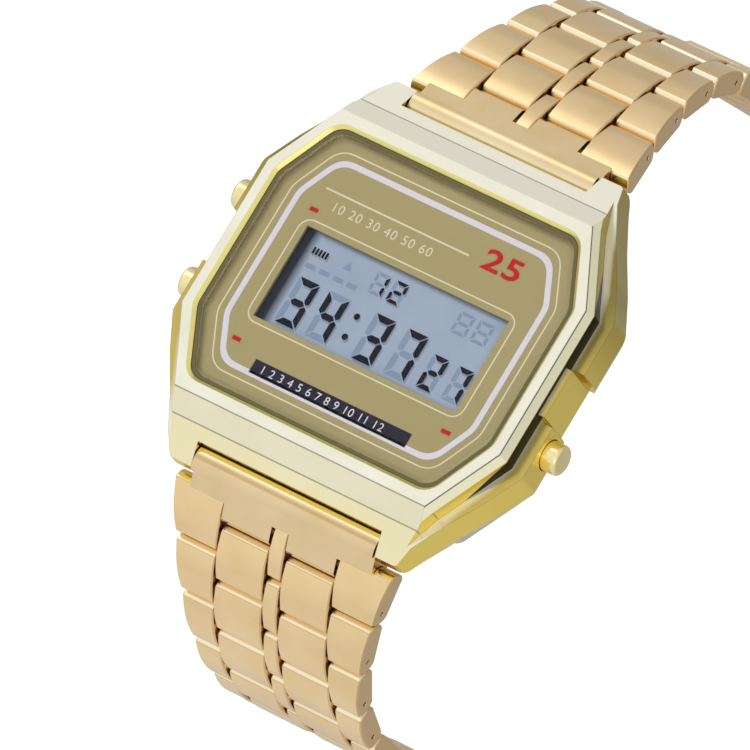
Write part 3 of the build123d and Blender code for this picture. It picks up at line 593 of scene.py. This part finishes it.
def flat_piece(name, polygons, z, material, body="case"):
    """Printed shapes at one height: each polygon is a list of (x, y), or a pair of outer and
    inner outlines."""
    mesh = bpy.data.meshes.new(name)
    made = bmesh.new()
    for polygon in polygons:
        if isinstance(polygon, tuple):
            outer, inner = [[made.verts.new((x * MM, y * MM, z * MM)) for x, y in rim]
                            for rim in polygon]
            for i in range(len(outer)):
                j = (i + 1) % len(outer)
                made.faces.new((outer[i], outer[j], inner[j], inner[i]))
        else:
            made.faces.new([made.verts.new((x * MM, y * MM, z * MM)) for x, y in polygon])
    bmesh.ops.recalc_face_normals(made, faces=made.faces)
    for face in made.faces:
        if face.normal.z < 0:
            face.normal_flip()
    made.to_mesh(mesh)
    made.free()
    piece = add_object(name, mesh)
    mesh.materials.append(material)
    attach(piece, body)


def figures(name, body, corner, material, height, spacing, stretch=1.0, weight=0.0):
    """A row of printed figures, from its lower left corner."""
    text = bpy.data.curves.new(name, "FONT")
    text.body = body
    text.size = height / FIGURE_SHARE * MM
    text.space_character = spacing
    text.offset = weight * MM
    piece = add_object(name, text)
    piece.location = [way * MM for way in corner]
    piece.scale = (stretch, 1, 1)
    text.materials.append(material)
    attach(piece, "case")


def octagon(side_x, side_half, end_half, end_y, inset, corner, steps=6):
    """The dial's outline drawn in by a distance, with round corners, as points. The halves are
    those of its side and end edges."""
    points = []
    for sx, sy, order in ((1, 1, 1), (-1, 1, -1), (-1, -1, 1), (1, -1, -1)):
        pair = [(sx * side_x, sy * side_half), (sx * end_half, sy * end_y)]
        points += pair[::order]
    count = len(points)
    lines = []
    for i in range(count):
        a, b = Vector(points[i]), Vector(points[(i + 1) % count])
        along = (b - a).normalized()
        inward = Vector((-along.y, along.x))
        lines.append((a + inward * inset, along))
    outline = []
    for i in range(count):
        (p, u), (q, v) = lines[i - 1], lines[i]
        cross = u.x * v.y - u.y * v.x
        t = ((q - p).x * v.y - (q - p).y * v.x) / cross
        tip = p + u * t
        reach = corner * u.angle(v) / pi
        start, end = tip - u * reach, tip + v * reach
        for step in range(steps + 1):
            k = step / steps
            outline.append(tuple(start.lerp(tip, k).lerp(tip.lerp(end, k), k)))
    return outline


def round_box(left, right, low, high, corner, steps=6):
    """A box with round corners, as points."""
    outline = []
    middles = ((right - corner, high - corner, 0), (left + corner, high - corner, 90),
               (left + corner, low + corner, 180), (right - corner, low + corner, 270))
    for x, y, first in middles:
        for step in range(steps + 1):
            angle = radians(first + 90 * step / steps)
            outline.append((x + corner * cos(angle), y + corner * sin(angle)))
    return outline


def bar(left, low, width, height):
    """A box from its lower left corner, as points."""
    return [(left, low), (left + width, low), (left + width, low + height), (left, low + height)]


def digit(left, row, lit):
    """The segments of one digit that are in lit, as polygons with pointed ends."""
    s, g = row.stroke, SEGMENT_GAP
    top, right, low = row.top, left + row.width, row.top - row.height
    middle = top - row.height / 2
    across = {
        "a": [(left + g, top), (right - g, top), (right - s - g, top - s),
              (left + s + g, top - s)],
        "b": [(right, top - g), (right, middle + g + s / 3), (right - s / 2, middle + g),
              (right - s, middle + s / 2 + g), (right - s, top - s - g)],
        "c": [(right, low + g), (right - s, low + s + g), (right - s, middle - s / 2 - g),
              (right - s / 2, middle - g), (right, middle - g - s / 3)],
        "d": [(left + g, low), (left + s + g, low + s), (right - s - g, low + s),
              (right - g, low)],
        "e": [(left, low + g), (left, middle - g - s / 3), (left + s / 2, middle - g),
              (left + s, middle - s / 2 - g), (left + s, low + s + g)],
        "f": [(left, top - g), (left + s, top - s - g), (left + s, middle + s / 2 + g),
              (left + s / 2, middle + g), (left, middle + g + s / 3)],
        "g": [(left + s / 2 + g, middle), (left + s + g, middle + s / 2),
              (right - s - g, middle + s / 2), (right - s / 2 - g, middle),
              (right - s - g, middle - s / 2), (left + s + g, middle - s / 2)],
    }
    return [across[key] for key in lit]


def display_pieces():
    """Lit and unlit segments on the display, and the shadow that the lit ones cast."""
    _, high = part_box("lcd_panel")
    z = high[2] / MM + PRINT_LIFT
    lit, pale = [], []
    for row in ROWS:
        for left, figure in row.figures:
            on = SEGMENTS[figure]
            lit += digit(left, row, on)
            pale += digit(left, row, [key for key in ALL_SEGMENTS if key not in on])
    pale += [bar(left, DASH_LOW, *DASH_SIZE) for left in DASH_LEFTS] + [ARROW]
    lit += [round_box(*COLON_SIDES, low, low + COLON_HEIGHT, COLON_CORNER) for low in COLON_LOWS]
    lit += [bar(GAUGE_LEFT + GAUGE_STEP * step, GAUGE_LOW, *GAUGE_SIZE)
            for step in range(GAUGE_BARS)]
    cast = [[(x + SEGMENT_SHADOW, y - SEGMENT_SHADOW) for x, y in polygon] for polygon in lit]
    dim = moulded("segment_shadow", rough=0.4, scale=PRINT_SCALE)
    dark = moulded("segment_navy", rough=0.5, scale=PRINT_SCALE, shine=0.05)
    faint = moulded("segment_pale", rough=0.4, scale=PRINT_SCALE)
    flat_piece("display_shadow", cast, z - PRINT_LIFT / 2, dim)
    flat_piece("display_digits", lit, z, dark)
    flat_piece("display_unlit", pale, z, faint)


def dial_pieces():
    """The printed lines, dashes, bar and figures on the dial."""
    _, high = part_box("face_plate")
    z = high[2] / MM + PRINT_LIFT
    half_x, half_y = high[0] / MM + PLATE_MARGIN, high[1] / MM + PLATE_MARGIN
    side_half = half_x * OPENING_CORNER_Y / OPENING_X
    cream = moulded("print_cream", rough=0.45, scale=PRINT_SCALE)
    white = moulded("print_white", rough=0.45, scale=PRINT_SCALE)
    red = moulded("print_red", rough=0.5, scale=PRINT_SCALE, shine=0.1)
    plum = moulded("print_plum", rough=0.5, scale=PRINT_SCALE, shine=0.1)

    def ring(inset, width):
        return tuple(octagon(half_x, side_half, half_y, half_y, inset + depth, corner)
                     for depth, corner in zip((0, width), RING_CORNERS))

    left, right, low, top = WINDOW_LINE
    inner = (left + LINE_WIDTH, right - LINE_WIDTH, low + LINE_WIDTH, top - LINE_WIDTH)
    window = (round_box(*WINDOW_LINE, WINDOW_LINE_CORNER),
              round_box(*inner, WINDOW_LINE_CORNER - LINE_WIDTH))
    flat_piece("print_frame", [ring(FRAME_INSET, FRAME_WIDTH)], z, white)
    flat_piece("print_lines", [ring(LINE_INSET, LINE_WIDTH), window, bar(*RULE)], z, cream)
    flat_piece("print_dashes", [bar(*dash) for dash in DASHES], z, red)
    flat_piece("print_bar", [bar(*DARK_BAR)], z, plum)
    figures("print_seconds", "10 20 30 40 50 60", (-9.0, 5.35, z), cream, height=0.8,
            spacing=1.15)
    figures("print_hours", "1 2 3 4 5 6 7 8 9 10 11 12", (-6.9, -9.15, z + PRINT_LIFT), white,
            height=0.7, spacing=1.12)
    figures("print_day", "25", (5.15, 6.45, z), red, height=1.75, spacing=1.1, stretch=1.4,
            weight=0.06)


def floor():
    """A plain white floor just under the bracelet, which keeps the shadow; in reflections it glows
    brighter towards the 6 o'clock side, a painted light.
    """
    low, _ = cad_box
    z = low[2] - FLOOR_DROP
    corners = [(x * FLOOR_HALF, y * FLOOR_HALF, z) for x, y in ((-1, -1), (1, -1), (1, 1), (-1, 1))]
    mesh = bpy.data.meshes.new("floor")
    mesh.from_pydata(corners, [], [(0, 1, 2, 3)])
    piece = add_object("floor", mesh)
    made = surface("floor_white")
    made.shader({"Base Color": FLOOR_COLOUR, "Roughness": FLOOR_ROUGHNESS,
                 "Specular IOR Level": 0.0})
    path = made.add("LightPath").outputs
    seen = made.maths("MAXIMUM", path["Is Camera Ray"], path["Is Transmission Ray"])
    _, y, _ = made.place()
    # Painted light: the floor glows brighter in reflections towards the 6 o'clock side
    mirrored = made.spread(y, *FLOOR_GLOW_MIRRORED, *FLOOR_GLOW_TURNS_Y)
    glow = made.maths("MAXIMUM", made.times(seen, FLOOR_GLOW),
                      made.times(path["Is Glossy Ray"], mirrored))
    total = made.add("AddShader", {
        0: made.tree["Principled BSDF"].outputs["BSDF"],
        1: made.add("Emission", {"Color": (1.0, 1.0, 1.0), "Strength": glow}).outputs["Emission"],
    })
    made.fill("Material Output", {"Surface": total.outputs["Shader"]})
    mesh.materials.append(made.owner)


def world():
    """A plain studio: bright overhead, dimmer towards the horizon and dimmest on the 12 o'clock
    side."""
    made = Nodes(bpy.data.worlds.new("studio"))
    bpy.context.scene.world = made.owner
    _, y, z = made.split("Generated")
    colour = made.blend(1.0, made.ramp(z, HEIGHT_TINTS), made.ramp(y, FAR_TINTS), "MULTIPLY")
    made.fill("Background", {"Color": colour, "Strength": WORLD_STRENGTH})


def camera():
    """The photograph's view."""
    lens = bpy.data.cameras.new("camera")
    lens.sensor_width = CAMERA_SENSOR
    lens.lens = CAMERA_LENS
    lens.shift_x, lens.shift_y = CAMERA_SHIFT
    lens.clip_start, lens.clip_end = CAMERA_CLIP
    made = add_object("camera", lens)
    made.location = CAMERA_AT
    made.rotation_euler = Euler(CAMERA_TURN, "XYZ")
    bpy.context.scene.camera = made


def lamps():
    """Soft square lamps that look at the dial's centre."""
    for name, at, size, power in LAMPS:
        lamp = bpy.data.lights.new(name, "AREA")
        lamp.shape = "RECTANGLE"
        lamp.size, lamp.size_y = size
        lamp.energy = power
        made = add_object(name, lamp)
        made.location = at
        made.rotation_euler = (-Vector(at)).to_track_quat("-Z", "Y").to_euler()


paint_all()
display_pieces()
dial_pieces()
floor()
world()
camera()
lamps()
bpy.context.scene.view_settings.view_transform = "Standard"
